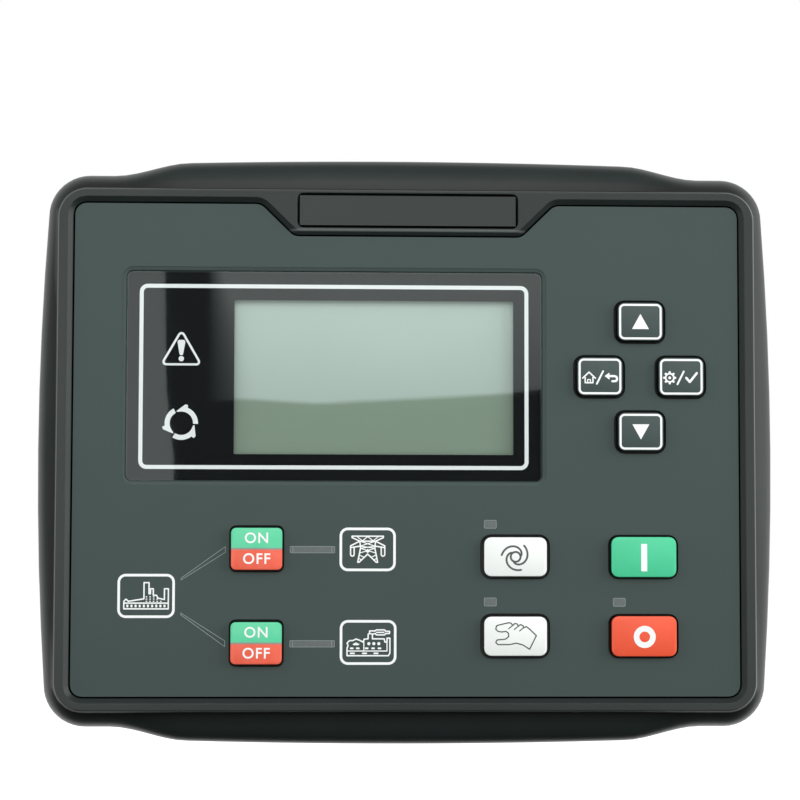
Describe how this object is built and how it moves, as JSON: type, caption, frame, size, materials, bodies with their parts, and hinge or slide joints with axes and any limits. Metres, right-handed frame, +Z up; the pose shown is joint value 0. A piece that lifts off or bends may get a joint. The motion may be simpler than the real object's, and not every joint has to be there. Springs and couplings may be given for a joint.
{
  "type": "genset controller",
  "caption": "Panel-mounted genset controller with a moulded bezel, wide display, navigation and mode keys, mimic keys for two breakers, and pluggable terminals behind.",
  "frame": {"origin": "the middle of the panel cut-out, on the plane where the back of the bezel meets the switchboard door", "axes": "+X to the right seen from the front, +Y into the switchboard so that the front faces -Y, +Z up"},
  "size_m": [0.209, 0.0458, 0.166],
  "materials": {
    "charcoal": "fine moulded charcoal plastic",
    "panel_grey": "matt grey-green film",
    "housing_black": "moulded black plastic",
    "key_dark": "matt grey-green key",
    "key_white": "white key",
    "key_green": "green key",
    "key_red": "red key",
    "key_split": "key printed green above and red below",
    "clear": "clear cover with a dark border",
    "lamp": "frosted light pipe",
    "lcd": "liquid crystal cell",
    "white_plastic": "white moulded plastic",
    "sheet_metal": "tinned sheet",
    "board": "circuit board with solder mask",
    "rubber": "moulded seal",
    "plug_green": "green terminal plastic",
    "steel": "zinc plated steel"
  },
  "bodies": {
    "controller": {"front_bezel": "charcoal", "face_panel": "panel_grey", "nameplate_insert": "charcoal", "display_lens": "clear", "lcd_cell": "lcd", "lcd_frame": "sheet_metal", "backlight_panel": "white_plastic", "panel_gasket": "rubber", "key_carrier": "white_plastic", "auto_lamp": "lamp", "manual_lamp": "lamp", "stop_lamp": "lamp", "mains_line_lamp": "lamp", "genset_line_lamp": "lamp", "load_mains_lamp": "lamp", "load_genset_lamp": "lamp", "alarm_lamp": "lamp", "status_lamp": "lamp", "main_board": "board", "terminal_board": "board", "board_link": "housing_black", "rear_housing": "housing_black", "usb_socket": "sheet_metal", "board_spacer_1": "steel", "housing_screw_1": "steel", "fixing_clip_1": "housing_black", "clip_screw_1": "steel", "board_spacer_2": "steel", "housing_screw_2": "steel", "fixing_clip_2": "housing_black", "clip_screw_2": "steel", "board_spacer_3": "steel", "housing_screw_3": "steel", "fixing_clip_3": "housing_black", "clip_screw_3": "steel", "board_spacer_4": "steel", "housing_screw_4": "steel", "fixing_clip_4": "housing_black", "clip_screw_4": "steel", "terminal_plug_1": "plug_green", "terminal_plug_2": "plug_green", "terminal_plug_3": "plug_green", "terminal_plug_4": "plug_green", "terminal_plug_5": "plug_green", "terminal_plug_6": "plug_green"},
    "key_up": {"key_up": "key_dark"},
    "key_down": {"key_down": "key_dark"},
    "key_home": {"key_home": "key_dark"},
    "key_confirm": {"key_confirm": "key_dark"},
    "key_auto": {"key_auto": "key_white"},
    "key_manual": {"key_manual": "key_white"},
    "key_start": {"key_start": "key_green"},
    "key_stop": {"key_stop": "key_red"},
    "key_mains_breaker": {"key_mains_breaker": "key_split"},
    "key_genset_breaker": {"key_genset_breaker": "key_split"}
  },
  "joints": [
    {"name": "key_up_press", "type": "slide", "parent": "controller", "child": "key_up", "axis": [0, 1, 0], "range_m": [0, 0.001], "stiffness_N_per_m": 800, "springref_m": -0.0005},
    {"name": "key_down_press", "type": "slide", "parent": "controller", "child": "key_down", "axis": [0, 1, 0], "range_m": [0, 0.001], "stiffness_N_per_m": 800, "springref_m": -0.0005},
    {"name": "key_home_press", "type": "slide", "parent": "controller", "child": "key_home", "axis": [0, 1, 0], "range_m": [0, 0.001], "stiffness_N_per_m": 800, "springref_m": -0.0005},
    {"name": "key_confirm_press", "type": "slide", "parent": "controller", "child": "key_confirm", "axis": [0, 1, 0], "range_m": [0, 0.001], "stiffness_N_per_m": 800, "springref_m": -0.0005},
    {"name": "key_auto_press", "type": "slide", "parent": "controller", "child": "key_auto", "axis": [0, 1, 0], "range_m": [0, 0.001], "stiffness_N_per_m": 800, "springref_m": -0.0005},
    {"name": "key_manual_press", "type": "slide", "parent": "controller", "child": "key_manual", "axis": [0, 1, 0], "range_m": [0, 0.001], "stiffness_N_per_m": 800, "springref_m": -0.0005},
    {"name": "key_start_press", "type": "slide", "parent": "controller", "child": "key_start", "axis": [0, 1, 0], "range_m": [0, 0.001], "stiffness_N_per_m": 800, "springref_m": -0.0005},
    {"name": "key_stop_press", "type": "slide", "parent": "controller", "child": "key_stop", "axis": [0, 1, 0], "range_m": [0, 0.001], "stiffness_N_per_m": 800, "springref_m": -0.0005},
    {"name": "key_mains_breaker_press", "type": "slide", "parent": "controller", "child": "key_mains_breaker", "axis": [0, 1, 0], "range_m": [0, 0.001], "stiffness_N_per_m": 800, "springref_m": -0.0005},
    {"name": "key_genset_breaker_press", "type": "slide", "parent": "controller", "child": "key_genset_breaker", "axis": [0, 1, 0], "range_m": [0, 0.001], "stiffness_N_per_m": 800, "springref_m": -0.0005}
  ]
}
